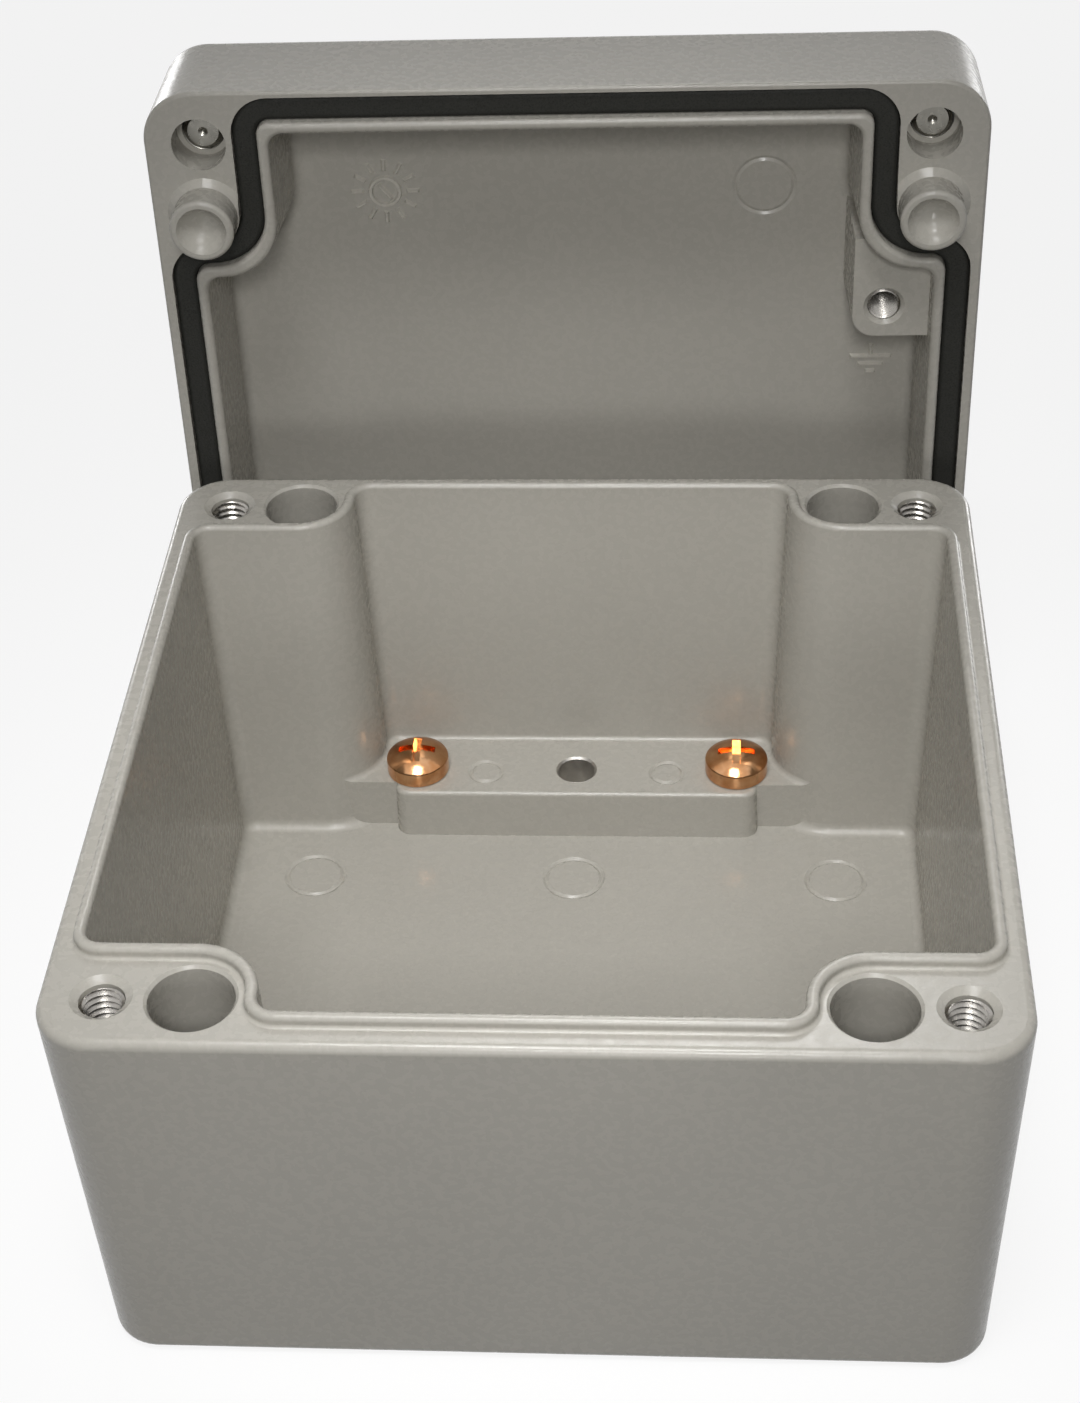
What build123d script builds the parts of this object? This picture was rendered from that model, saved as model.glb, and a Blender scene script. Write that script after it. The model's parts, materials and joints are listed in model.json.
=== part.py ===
from build123d import *
import os
from math import radians, sin, cos, tan

# Die cast aluminium box: a painted base casting, and its lid casting taken off and stood behind it.
# Frame: X to the right, Y to the back, Z up. The origin is the middle of the base's underside.
# The lid is modelled shut, above the sealing plane at z = 0, and is then stood up by lid_pose().

# Outer form of both castings
box_width = 120.0
box_depth = 122.0
base_height = 60.0
lid_height = 20.0
corner_radius = 7.6
foot_corner_radius = 6.4
base_draft = 1.9
lid_draft = 1.0
bottom_edge_radius = 1.8
base_rim_radius = 1.2
lid_edge_radius = 2.2
lid_rim_radius = 0.5

# Seal line: the notched outline that the tongue, the groove, the gasket and both hollows follow
seal_inset_x = 3.1
seal_inset_y = 3.7
notch_wall = 7.05
seal_corner_radius = 3.5
notch_radius = 7.0
notch_foot_radius = 3.8
least_radius = 0.9
straight_between_arcs = 0.2

# Base hollow, and the tongue round its mouth
floor_thickness = 4.8
cavity_inset = 1.2
cavity_draft = 2.0
pillar_extra_draft = 1.0
hollow_corner_radius = 2.2
floor_fillet = 1.6
tongue_outset = 0.4
tongue_height = 1.6
tongue_edge_radius = 0.7
tongue_root_radius = 0.5

# Ledges inside the two end walls
ledge_height = 13.4
ledge_setback = 0.7
ledge_root_radius = 0.8
nose_end_inset = 4.95
nose_reach = 2.8
nose_depth = 8.0
nose_corner_radius = 2.4
ledge_edge_radius = 0.7
ledge_hole_inset = 7.9
ledge_mark_inset = 8.55
ledge_tap_radius = 2.0
ledge_tap_depth = 7.0
centre_hole_radius = 3.0
centre_hole_depth = 6.0
ledge_hole_chamfer = 0.3

# Ejector marks, left as shallow rings in the floor, the ledges and the lid
ejector_radius = 4.45
ledge_ejector_radius = 2.5
mark_width = 0.9
mark_depth = 0.25
floor_mark_x = 41.0
floor_mark_y = 30.2
ledge_mark_x = 14.5
lid_mark_x = 36.5
lid_mark_y = 29.5

# Fixing holes and lid screw holes in the four corners
hole_inset_y = 8.0
mount_inset_x = 19.0
mount_bore_radius = 5.4
mount_mouth_chamfer = 0.4
mount_hole_radius = 3.3
mount_web = 6.0
screw_inset_x = 8.0
tap_radius = 2.9
tap_depth = 18.0
tap_countersink_radius = 3.9
tap_countersink_depth = 0.7

# Lid hollow, with its lip, and the gasket in its groove
lid_plate = 4.0
pocket_draft = 3.0
lip_width = 1.6
lip_rise = 0.8
lip_edge_radius = 0.7
gasket_width = 3.7
gasket_outset = 0.3
gasket_play = 0.05
gasket_sink = 0.5
gasket_crown = 0.8
groove_depth = 3.4

# Bosses of the lid that locate it in the mouths of the fixing holes
boss_play = 0.65
boss_height = 5.8
boss_rim_radius = 0.6
boss_root_size = 1.0
dish_radius = 3.7
dish_depth = 2.1

# Earth pad cast into the lid's hollow
pad_length = 16.25
pad_depth = 3.0
pad_corner_radius = 3.4
pad_hole_from_end = 5.0
pad_hole_from_side = 4.7
pad_hole_radius = 2.5
pad_hole_depth = 9.0
pad_countersink_radius = 3.1
pad_countersink_depth = 0.6

# Captive lid screws, drawn back until their tips lie inside the lid
screw_radius = 2.9
screw_neck_radius = 2.3
screw_thread_length = 7.0
screw_tip_chamfer = 0.6
screw_dimple_radius = 0.7
screw_dimple_depth = 0.4
screw_play = 0.3
lid_hole_radius = 4.0
lid_hole_depth = 5.3
web_thickness = 3.0
screw_travel = 10.0
tip_recess = 4.6
head_radius = 4.9
head_height = 3.2
head_edge_radius = 0.6
head_play = 0.7
slot_width = 1.4
slot_depth = 1.8

# Earth screws on the back ledge
earth_screw_inset = 8.45
earth_head_radius = 4.95
earth_head_height = 4.5
earth_head_crown = 1.9
earth_head_edge_radius = 0.4
earth_shank_length = 5.5
earth_screw_play = 0.05
recess_width = 1.3
recess_reach = 2.9
recess_depth = 2.0

# Standing pose of the lid that is taken off
lid_gap = 7.8
lid_shift = -0.2
lid_yaw = 0.7

# How far a cutter runs past the face that it opens, and a joined piece into its neighbour
overlap = 1.0

# Play within which an edge counts as lying at a height or on a line
nearly_nothing = 0.01

# Places that follow from the sizes above: the seal line, the hole rows, the notches round the bores, and the
# nose and the earth screws between the back notches
seal_half_width = box_width / 2 - seal_inset_x
seal_half_depth = box_depth / 2 - seal_inset_y
hole_row_y = box_depth / 2 - hole_inset_y
mount_x = box_width / 2 - mount_inset_x
screw_x = box_width / 2 - screw_inset_x
notch_half_width = mount_x - notch_wall
notch_half_depth = hole_row_y - notch_wall
nose_half_length = mount_x - (notch_wall + nose_end_inset)
earth_screw_x = mount_x - (notch_wall + earth_screw_inset)


def shrink(height, draft):
    """Sideways change of a drafted wall over a height."""
    return height * tan(radians(draft))


def seal_outline(grow, z=0.0, least=least_radius, pillar_reach=0.0):
    """Face inside the notched seal line, grown outwards by grow, at height z.

    pillar_reach takes the notches' flat sides further in.
    """
    side = seal_half_width + grow
    end = seal_half_depth + grow
    step_x = notch_half_width + grow
    step_y = notch_half_depth + grow - pillar_reach
    corner = max(seal_corner_radius + grow, least)
    foot = max(notch_foot_radius + grow, least)
    room = min(end - step_y - foot, side - step_x - corner) - straight_between_arcs
    bend = min(notch_radius - grow, room)
    quarter = [(side, step_y, corner), (step_x, step_y, bend), (step_x, end, foot)]
    points, radii = [], []
    for sign_x, sign_y in ((1, 1), (-1, 1), (-1, -1), (1, -1)):
        corners = quarter if sign_x == sign_y else quarter[::-1]
        for x, y, radius in corners:
            points.append((sign_x * x, sign_y * y))
            radii.append(radius)
    return Pos(0, 0, z) * make_face(FilletPolyline(*points, radius=radii, close=True))


def outer_shell(height, draft, narrow_corner, edge_radius, rim_radius):
    """Drafted block with rounded corners, full size at z = 0 and narrower at z = height."""
    narrow = shrink(height, draft)
    wide_end = RectangleRounded(box_width, box_depth, corner_radius)
    narrow_end = RectangleRounded(box_width - 2 * narrow, box_depth - 2 * narrow, narrow_corner)
    block = loft([wide_end, Pos(0, 0, height) * narrow_end], ruled=True)
    block = fillet(block.edges().group_by(Axis.Z)[-1], edge_radius)
    return fillet(block.edges().group_by(Axis.Z)[0], rim_radius)


def hollow(inset, low, high, draft, pillar_reach=0.0):
    """Notched hollow with sharp edges: full at its mouth at z = high, narrower at its floor at z = low."""
    narrow = inset + shrink(high - low, draft)
    floor_end = seal_outline(-narrow, low, hollow_corner_radius, pillar_reach)
    mouth_end = seal_outline(-inset, high, hollow_corner_radius)
    return loft([floor_end, mouth_end], ruled=True)


def level_edges(shape, height, half_width, half_depth):
    """Edges that lie flat at a height, inside a rectangle about the middle."""
    chosen = []
    for edge in shape.edges():
        box = edge.bounding_box()
        off_level = max(abs(box.min.Z - height), abs(box.max.Z - height))
        outside_x = max(-box.min.X, box.max.X) - half_width
        outside_y = max(-box.min.Y, box.max.Y) - half_depth
        if max(off_level, outside_x, outside_y) < nearly_nothing:
            chosen.append(edge)
    return chosen


def round_floor(form):
    """Rounds the lowest edges of a hollow."""
    return fillet(form.edges().group_by(Axis.Z)[0], floor_fillet)


def pattern(corner_x, shape):
    """One copy of a shape at each end of both hole rows."""
    return [Pos(x, y, 0) * shape for x in (-corner_x, corner_x) for y in (-hole_row_y, hole_row_y)]


def turned(*profile):
    """Solid of revolution about Z from (radius, height) points; the axis closes the profile."""
    outline = make_face(Polyline(*profile, close=True))
    return revolve(Plane.XZ * outline, Axis.Z)


def drilled(radius, depth, mouth_radius, mouth_depth):
    """Cutter for a blind hole below z = 0, with a countersunk mouth."""
    return turned((0, -depth), (radius, -depth), (radius, -mouth_depth), (mouth_radius, 0),
                  (mouth_radius, overlap), (0, overlap))


def slot_cutter(length, width, depth):
    """Cutter for a straight slot below z = 0."""
    block = Box(length, width, depth + overlap, align=(Align.CENTER, Align.CENTER, Align.MIN))
    return Pos(0, 0, -depth) * block


def mark_ring(radius):
    """Cutter for a shallow ring with sloping sides, below z = 0."""
    inside = radius - mark_width / 2
    outside = radius + mark_width / 2
    return turned((inside, 0), (radius, -mark_depth), (outside, 0), (outside, overlap), (inside, overlap))


def ledge_wall_y():
    """Distance from the middle to the hollow's end wall, at the top of the ledge."""
    return seal_half_depth - cavity_inset - shrink(base_height - ledge_height, cavity_draft)


def pillar_y(height):
    """Distance from the middle to the corner pillars' flat sides, at a height in the base."""
    return notch_half_depth - cavity_inset - shrink(base_height - height, cavity_draft + pillar_extra_draft)


def ledge():
    """Ledge at the back wall: a bar that runs into the corner pillars, with a rounded nose in front."""
    low = floor_thickness - overlap
    height = ledge_height - low
    front = pillar_y(ledge_height) + ledge_setback
    bar = Box(2 * mount_x, seal_half_depth - front, height, align=(Align.CENTER, Align.MIN, Align.MIN))
    nose_plan = Pos(0, nose_depth / 2 - nose_reach) * RectangleRounded(2 * nose_half_length, nose_depth,
                                                                       nose_corner_radius)
    nose = extrude(nose_plan, amount=height, taper=base_draft)
    nose = fillet(nose.edges().group_by(Axis.Z)[-1], ledge_edge_radius)
    return Pos(0, front, low) * (bar + nose)


def base_hollow():
    """Hollow of the base above its floor and ledges, with rounded roots."""
    mouth = base_height + tongue_height
    height = mouth - floor_thickness
    pillar_reach = shrink(height, cavity_draft + pillar_extra_draft) - shrink(height, cavity_draft)
    mouth_inset = cavity_inset - shrink(tongue_height, cavity_draft)
    form = round_floor(hollow(mouth_inset, floor_thickness, mouth, cavity_draft, pillar_reach))
    form -= [ledge(), Rot(0, 0, 180) * ledge()]
    wall_roots = [edge for edge in level_edges(form, ledge_height, seal_half_width, seal_half_depth)
                  if abs(edge.center().Y) > ledge_wall_y() - hollow_corner_radius]
    return fillet(wall_roots, ledge_root_radius)


def ledge_cuts():
    """Two tapped holes, a centre hole and two ejector marks in the top of the back ledge."""
    tap = drilled(ledge_tap_radius, ledge_tap_depth, ledge_tap_radius + ledge_hole_chamfer,
                  ledge_hole_chamfer)
    centre = drilled(centre_hole_radius, centre_hole_depth, centre_hole_radius + ledge_hole_chamfer,
                     ledge_hole_chamfer)
    hole_row = Pos(0, ledge_wall_y() - ledge_hole_inset, ledge_height)
    mark_row = Pos(0, ledge_wall_y() - ledge_mark_inset, ledge_height)
    cuts = [hole_row * centre]
    for side in (-1, 1):
        cuts.append(hole_row * Pos(side * earth_screw_x, 0, 0) * tap)
        cuts.append(mark_row * Pos(side * ledge_mark_x, 0, 0) * mark_ring(ledge_ejector_radius))
    return cuts


def fixing_bore():
    """Cutter for a deep bore from the sealing face, with the fixing hole through its bottom."""
    mouth_radius = mount_bore_radius + mount_mouth_chamfer
    bore_top = base_height - mount_mouth_chamfer
    return turned((0, -overlap), (mount_hole_radius, -overlap), (mount_hole_radius, mount_web),
                  (mount_bore_radius, mount_web), (mount_bore_radius, bore_top), (mouth_radius, base_height),
                  (mouth_radius, base_height + overlap), (0, base_height + overlap))


def base_casting():
    """Base: drafted shell, tongue, notched hollow, ledges and corner holes."""
    shell = outer_shell(base_height, base_draft, foot_corner_radius, bottom_edge_radius, base_rim_radius)
    body = Pos(0, 0, base_height) * Rot(180, 0, 0) * shell
    body += extrude(seal_outline(tongue_outset, base_height - overlap), amount=overlap + tongue_height)
    tongue_half_width = seal_half_width + tongue_outset
    tongue_half_depth = seal_half_depth + tongue_outset
    tongue_roots = level_edges(body, base_height, tongue_half_width, tongue_half_depth)
    body = fillet(tongue_roots, tongue_root_radius)
    body -= base_hollow()
    body = fillet(body.edges().group_by(Axis.Z)[-1], tongue_edge_radius)
    half_turn = Rot(0, 0, 180)
    cuts = ledge_cuts()
    body -= cuts + [half_turn * cut for cut in cuts]
    body -= [Pos(x, y, floor_thickness) * mark_ring(ejector_radius)
             for x in (-floor_mark_x, 0, floor_mark_x) for y in (-floor_mark_y, floor_mark_y)]
    body -= pattern(mount_x, fixing_bore())
    screw_hole = Pos(0, 0, base_height) * drilled(tap_radius, tap_depth, tap_countersink_radius,
                                                  tap_countersink_depth)
    body -= pattern(screw_x, screw_hole)
    return body


def gasket_ring(width, low, high):
    """Ring along the gasket's own line, from z = low to z = high."""
    outside = seal_outline(gasket_outset + width / 2, low)
    return extrude(outside - seal_outline(gasket_outset - width / 2, low), amount=high - low)


def locating_boss():
    """Round boss below the sealing face, with a rounded rim and a dished end."""
    boss_radius = mount_bore_radius - boss_play
    boss = Pos(0, 0, overlap) * Cylinder(boss_radius, boss_height + overlap,
                                         align=(Align.CENTER, Align.CENTER, Align.MAX))
    boss = fillet(boss.edges().group_by(Axis.Z)[0], boss_rim_radius)
    bowl_radius = (dish_radius ** 2 + dish_depth ** 2) / (2 * dish_depth)
    return boss - Pos(0, 0, dish_depth - boss_height - bowl_radius) * Sphere(bowl_radius)


def boss_root():
    """Small cone where a locating boss meets the sealing face."""
    boss_radius = mount_bore_radius - boss_play
    foot_radius = boss_radius + boss_root_size
    return turned((0, -boss_root_size), (boss_radius, -boss_root_size), (foot_radius, 0),
                  (foot_radius, overlap), (0, overlap))


def screw_passage():
    """Cutter for the stepped hole of a captive lid screw: mouth, web and head pocket."""
    web_radius = screw_radius + screw_play
    web_top = lid_hole_depth + web_thickness
    pocket_radius = head_radius + head_play
    return turned((0, -overlap), (lid_hole_radius, -overlap), (lid_hole_radius, lid_hole_depth),
                  (web_radius, lid_hole_depth), (web_radius, web_top), (pocket_radius, web_top),
                  (pocket_radius, lid_height + overlap), (0, lid_height + overlap))


def pad_side():
    """Distance from the middle to the earth pad's long side, in line with the hollow's wall beside it."""
    wall_inset = lip_width + gasket_width / 2 - gasket_outset
    return notch_half_depth - wall_inset - shrink(pad_depth + lip_rise, pocket_draft)


def earth_pad():
    """Pad that fills the hollow's corner beside one notch, up to just below the sealing face."""
    plan = Rectangle(pad_length, seal_half_depth - pad_side(), align=(Align.MAX, Align.MAX))
    plan = Pos(notch_half_width, seal_half_depth, 0) * plan
    inner_corner = plan.vertices().sort_by(Axis.X)[:2].sort_by(Axis.Y)[0]
    plan = fillet(inner_corner, pad_corner_radius)
    return extrude(Pos(0, 0, pad_depth) * plan, amount=lid_height - lid_plate + overlap - pad_depth,
                   taper=-pocket_draft)


def lid_casting():
    """Lid, shut: drafted shell, notched pocket, gasket groove, bosses, earth pad and screw holes."""
    top_corner = corner_radius - shrink(lid_height, lid_draft)
    body = outer_shell(lid_height, lid_draft, top_corner, lid_edge_radius, lid_rim_radius)
    lip_outset = gasket_outset - gasket_width / 2
    body += extrude(seal_outline(lip_outset, -lip_rise), amount=overlap + lip_rise)
    pocket_floor = lid_height - lid_plate
    pocket = round_floor(hollow(lip_width - lip_outset, -pocket_floor, lip_rise, pocket_draft))
    body -= Rot(180, 0, 0) * pocket
    body = fillet(body.edges().group_by(Axis.Z)[0], lip_edge_radius)
    body += pattern(mount_x, boss_root())
    body += earth_pad()
    body -= gasket_ring(gasket_width, -overlap, groove_depth)
    body += pattern(mount_x, locating_boss())
    pad_hole = drilled(pad_hole_radius, pad_hole_depth, pad_countersink_radius, pad_countersink_depth)
    pad_hole_x = notch_half_width - pad_length + pad_hole_from_end
    pad_hole_y = pad_side() + pad_hole_from_side
    body -= Pos(pad_hole_x, pad_hole_y, pad_depth) * Rot(180, 0, 0) * pad_hole
    body -= pattern(screw_x, screw_passage())
    body -= Pos(lid_mark_x, lid_mark_y, pocket_floor) * Rot(180, 0, 0) * mark_ring(ejector_radius)
    return body


def lid_gasket():
    """Gasket in the lid's groove, crowned where the tongue presses on it."""
    ring = gasket_ring(gasket_width - 2 * gasket_play, gasket_sink, groove_depth)
    return fillet(ring.edges().group_by(Axis.Z)[0], gasket_crown)


def lid_screw():
    """Captive lid screw in the shut lid's frame, drawn back so that its tip lies above the sealing face."""
    seat = lid_hole_depth + web_thickness + screw_travel
    thread_end = tip_recess + screw_thread_length
    neck_step = screw_radius - screw_neck_radius
    chamfer_top = tip_recess + screw_tip_chamfer
    shank = turned((0, tip_recess + screw_dimple_depth), (screw_dimple_radius, tip_recess),
                   (screw_radius - screw_tip_chamfer, tip_recess), (screw_radius, chamfer_top),
                   (screw_radius, thread_end), (screw_neck_radius, thread_end + neck_step),
                   (screw_neck_radius, seat + overlap), (0, seat + overlap))
    head = Pos(0, 0, seat) * Cylinder(head_radius, head_height,
                                      align=(Align.CENTER, Align.CENTER, Align.MIN))
    head = fillet(head.edges().group_by(Axis.Z)[-1], head_edge_radius)
    slot = slot_cutter(2 * head_radius + overlap, slot_width, slot_depth)
    return shank + head - Pos(0, 0, seat + head_height) * slot


def earth_screw():
    """Pan head screw standing on z = 0, with a slot and cross recess."""
    dome_radius = (earth_head_radius ** 2 + earth_head_crown ** 2) / (2 * earth_head_crown)
    head = Cylinder(earth_head_radius, earth_head_height, align=(Align.CENTER, Align.CENTER, Align.MIN))
    head &= Pos(0, 0, earth_head_height - dome_radius) * Sphere(dome_radius)
    head = fillet(head.edges().filter_by(GeomType.CIRCLE), earth_head_edge_radius)
    shank_radius = ledge_tap_radius - earth_screw_play
    shank = Pos(0, 0, overlap) * Cylinder(shank_radius, earth_shank_length + overlap,
                                          align=(Align.CENTER, Align.CENTER, Align.MAX))
    slot = Pos(0, 0, earth_head_height) * slot_cutter(2 * recess_reach, recess_width, recess_depth)
    return head + shank - [slot, Rot(0, 0, 90) * slot]


def lid_pose():
    """Where the lid stands: on its drafted side behind the base, hollow to the front, long side across."""
    lean = radians(lid_draft)
    yaw = radians(lid_yaw)
    up = (-sin(lean) * sin(yaw), sin(lean) * cos(yaw), cos(lean))
    away = (-cos(lean) * sin(yaw), cos(lean) * cos(yaw), -sin(lean))
    origin = (lid_shift, box_depth / 2 + lid_gap, box_width / 2 * cos(lean))
    return Plane(origin=origin, x_dir=up, z_dir=away).location


def build():
    """Every node of the object, by name."""
    nodes = {"base_casting": base_casting()}
    screw_y = ledge_wall_y() - ledge_hole_inset
    for name, side in (("left", -1), ("right", 1)):
        nodes["earth_screw_" + name] = Pos(side * earth_screw_x, screw_y, ledge_height) * earth_screw()
    pose = lid_pose()
    nodes["lid_casting"] = pose * lid_casting()
    nodes["lid_gasket"] = pose * lid_gasket()
    for level, up in (("top", 1), ("bottom", -1)):
        for name, across in (("left", -1), ("right", 1)):
            place = Pos(up * screw_x, across * hole_row_y, 0)
            nodes["lid_screw_" + level + "_" + name] = pose * place * lid_screw()
    return nodes


os.makedirs("parts", exist_ok=True)
for node, shape in build().items():
    export_step(shape, os.path.join("parts", node + ".step"))
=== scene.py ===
import json
import math

import bmesh
import bpy
from mathutils import Matrix, Vector


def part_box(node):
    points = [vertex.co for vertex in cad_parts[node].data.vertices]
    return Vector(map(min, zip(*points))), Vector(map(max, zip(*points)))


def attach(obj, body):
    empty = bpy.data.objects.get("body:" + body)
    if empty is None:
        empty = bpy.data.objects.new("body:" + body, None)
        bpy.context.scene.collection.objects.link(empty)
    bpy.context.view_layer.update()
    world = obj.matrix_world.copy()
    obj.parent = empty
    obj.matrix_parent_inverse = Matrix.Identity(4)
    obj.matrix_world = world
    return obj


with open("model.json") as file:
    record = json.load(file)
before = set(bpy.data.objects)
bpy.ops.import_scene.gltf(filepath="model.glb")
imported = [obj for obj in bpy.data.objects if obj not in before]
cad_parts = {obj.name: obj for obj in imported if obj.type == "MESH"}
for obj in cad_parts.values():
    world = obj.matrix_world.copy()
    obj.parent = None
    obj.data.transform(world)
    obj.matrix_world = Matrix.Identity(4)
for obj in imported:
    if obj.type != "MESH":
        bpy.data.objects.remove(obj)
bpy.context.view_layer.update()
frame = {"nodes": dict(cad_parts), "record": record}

bl_info = {
    "name": "Die Cast Box Finish",
    "version": (1, 0, 0),
    "blender": (4, 5, 0),
    "location": "3D View > Sidebar > Cast Box",
    "description": "Powder coat, cut threads, plating, cast marks and studio for a die cast aluminium box",
    "category": "Object",
}

BOX_BODY = "box"
CASTINGS = ("base_casting", "lid_casting")
EARTH_SCREWS = ("earth_screw_left", "earth_screw_right")
LID_CORNERS = ("top_left", "top_right", "bottom_left", "bottom_right")
BASE_CORNERS = ((-1, -1, "front_left"), (1, -1, "front_right"),
                (-1, 1, "back_left"), (1, 1, "back_right"))
MOUNTS = {mount["name"]: mount for mount in frame["record"]["mounts"]}
MILLIMETRE = 0.001

# The lid and its screws as the solids have them, with depths and starts from the lid's sealing face
EARTH_PAD_DEPTH = 7.8 * MILLIMETRE
LID_THICKNESS = 20.0 * MILLIMETRE
LID_PLATE = 4.0 * MILLIMETRE
LID_SCREW_ROOT = 2.86 * MILLIMETRE
LID_THREAD_START = 5.3 * MILLIMETRE
LID_THREAD_LENGTH = 6.0 * MILLIMETRE
SCREW_THREAD_WALL = 0.1 * MILLIMETRE

# The thread's tooth as pairs: 0 at the root or 1 at the crest, and the share of the pitch
THREAD_TOOTH = ((0, 0.0), (0, 0.16), (1, 0.52), (1, 0.64), (0, 1.0))

# Steps round one turn of thread and round a plain circle, and the angle from which an edge is sharp
THREAD_STEPS = 48
ROUND_STEPS = 64
SHARP_ANGLE = math.radians(32)

# The sleeves that line the holes stand just inside the bores of the solids
SLEEVE_INSET = 0.05 * MILLIMETRE
SLEEVE_THICKNESS = 0.04 * MILLIMETRE
THREAD_ROOT_INSET = 0.06 * MILLIMETRE
THREAD_WALL = 0.05 * MILLIMETRE
MOUTH_FLARE = 0.3 * MILLIMETRE
FINE_PITCH = 0.5 * MILLIMETRE
FINE_THREAD_DEPTH = 0.3 * MILLIMETRE

# The marks: spots up and across from the lid's middle, and shares of the dial's radius, the sign's width
# or the stem's length
DIAL_SPOT = (36.6 * MILLIMETRE, -28.2 * MILLIMETRE)
DIAL_TICK = 0.38
DIAL_RING = 0.42
DIAL_BAR = 0.6
DIAL_BAR_TURN = math.radians(40)
EARTH_SIGN_SPOT = (7.0 * MILLIMETRE, 46.7 * MILLIMETRE)
EARTH_BARS = (1.0, 0.62, 0.26)
EARTH_BAR_STEP = 1.35 * MILLIMETRE
EARTH_STEM = 2.0 * MILLIMETRE
EARTH_STEM_REACH = 0.6
MARK_STROKE = 0.75 * MILLIMETRE
# Share by which the marks' coat is lighter than the castings' coat: a painted highlight for the light that
# the raised marks catch
MARK_PAINTED_HIGHLIGHT = 1.3

# The values that a noise texture mostly takes, and the colour sockets of a Mix node
NOISE_REACH = (0.3, 0.7)
COLOUR_A, COLOUR_B, COLOUR_RESULT = 6, 7, 2

# Finishes: shares of a colour, how far roughness drifts, and the depth of the rubber's grain
SPECK_TONES = (0.6, 1.2)
PAINT_GLOSS_DRIFT = 0.05
RUBBER_TONES = (0.7, 1.6)
RUBBER_ROUGHNESS = (0.55, 0.8)
RUBBER_GRAIN_DEPTH = 0.06 * MILLIMETRE
METAL_GLOSS_DRIFT = (0.8, 1.3)
AGED_COPPER = (0.52, 0.22, 0.08)
DULL_STEEL = 0.75
DULL_CUT = 0.8
DRILLED_LIFT = 1.3

# Lamps: name, power setting, size in metres, whole beam in degrees, place and target in metres
LAMPS = (
    ("flash", "flash_power", 0.10, 38, (0.02, -0.42, 0.42), (0, 0.02, 0.05)),
    ("front_lamp", "front_power", 0.30, 20, (0, -0.75, 0.22), (0, 0, 0.07)),
    ("inside_lamp", "inside_power", 0.15, 42, (-0.02, -0.13, 0.45), (0, -0.01, 0)),
    ("sheen_lamp", "sheen_power", 0.22, 18, (0, 0.5, 0.62), (0, -0.09, 0.06)),
    ("back_left_lamp", "back_power", 0.20, 180, (-0.5, 0.75, 0.12), (0, 0.06, 0.06)),
    ("back_right_lamp", "back_power", 0.20, 180, (0.5, 0.75, 0.12), (0, 0.06, 0.06)),
)

# The floor's half width in metres, how far it lies under the box, and the tone that the world shows
FLOOR_REACH = 4.0
FLOOR_DROP = 0.1 * MILLIMETRE
BACKGROUND_TONE = 0.92

# The camera as the photograph's perspective gives it: its place, its axes and its shift
CAMERA_SPOT = (0.021163, -0.274014, 0.280121)
CAMERA_RIGHT = (0.9973317, 0.0603305, -0.0411071)
CAMERA_UP = (-0.0055497, 0.6241069, 0.7813193)
CAMERA_BACK = (0.0727926, -0.7790063, 0.6227764)
CAMERA_SHIFT = (0.01474, 0.01210)
SENSOR_WIDTH = 36.0
NEAR_CLIP = 0.01


def middle(node):
    """The middle of a CAD node's box."""
    low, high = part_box(node)
    return (low + high) / 2


def lid_place():
    """A matrix from the shut lid's own axes, x up, y across and z outwards, to where the lid stands."""
    corners = {name: middle("lid_screw_" + name) for name in LID_CORNERS}
    up = (corners["top_left"] - corners["bottom_left"]).normalized()
    across = (corners["top_right"] - corners["top_left"]).normalized()
    out = up.cross(across).normalized()
    centre = sum(corners.values(), Vector()) / len(corners)
    pad = Vector(MOUNTS["lid_earth_hole"]["pos_m"])
    origin = centre + out * ((pad - centre).dot(out) - EARTH_PAD_DEPTH)
    axes = Matrix((up, across, out)).transposed()
    return Matrix.Translation(origin) @ axes.to_4x4()


LID_PLACE = lid_place()


class PaintSettings(bpy.types.PropertyGroup):
    """The powder coat on both castings."""

    colour: bpy.props.FloatVectorProperty(
        name="Paint colour", description="Warm light grey of the powder coat",
        subtype="COLOR", size=3, min=0, max=1, default=(0.418, 0.400, 0.357))
    tone_spread: bpy.props.FloatProperty(
        name="Tone spread", description="How far the coat's colour drifts over the casting",
        min=0, max=1, default=0.03)
    roughness: bpy.props.FloatProperty(
        name="Roughness", description="Roughness of the semi-gloss coat",
        min=0, max=1, default=0.27)
    peel_size: bpy.props.FloatProperty(
        name="Orange peel size", description="Distance between the low waves in the coat",
        unit="LENGTH", min=0.0001, max=0.01, default=0.0011)
    peel_depth: bpy.props.FloatProperty(
        name="Orange peel depth", description="Height of the low waves in the coat",
        unit="LENGTH", min=0, max=0.001, default=0.000018)


class MetalSettings(bpy.types.PropertyGroup):
    """The bare and plated metals, and the gasket's rubber."""

    copper: bpy.props.FloatVectorProperty(
        name="Copper plate", description="Colour of the plated earth screws",
        subtype="COLOR", size=3, min=0, max=1, default=(0.74, 0.43, 0.23))
    # The lid screws' colour is darker than steel's own: painted shade for the screw tips that sit deep in
    # the lid's holes
    steel: bpy.props.FloatVectorProperty(
        name="Screw steel", description="Colour of the lid screws",
        subtype="COLOR", size=3, min=0, max=1, default=(0.30, 0.29, 0.26))
    # The holes' metal colour is darker than bare aluminium's own: painted shade for the dim room that the
    # holes mirror
    cut_metal: bpy.props.FloatVectorProperty(
        name="Cut aluminium", description="Colour of the freshly tapped and drilled holes",
        subtype="COLOR", size=3, min=0, max=1, default=(0.44, 0.42, 0.39))
    rubber: bpy.props.FloatVectorProperty(
        name="Gasket rubber", description="Colour of the gasket",
        subtype="COLOR", size=3, min=0, max=1, default=(0.013, 0.013, 0.011))


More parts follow.
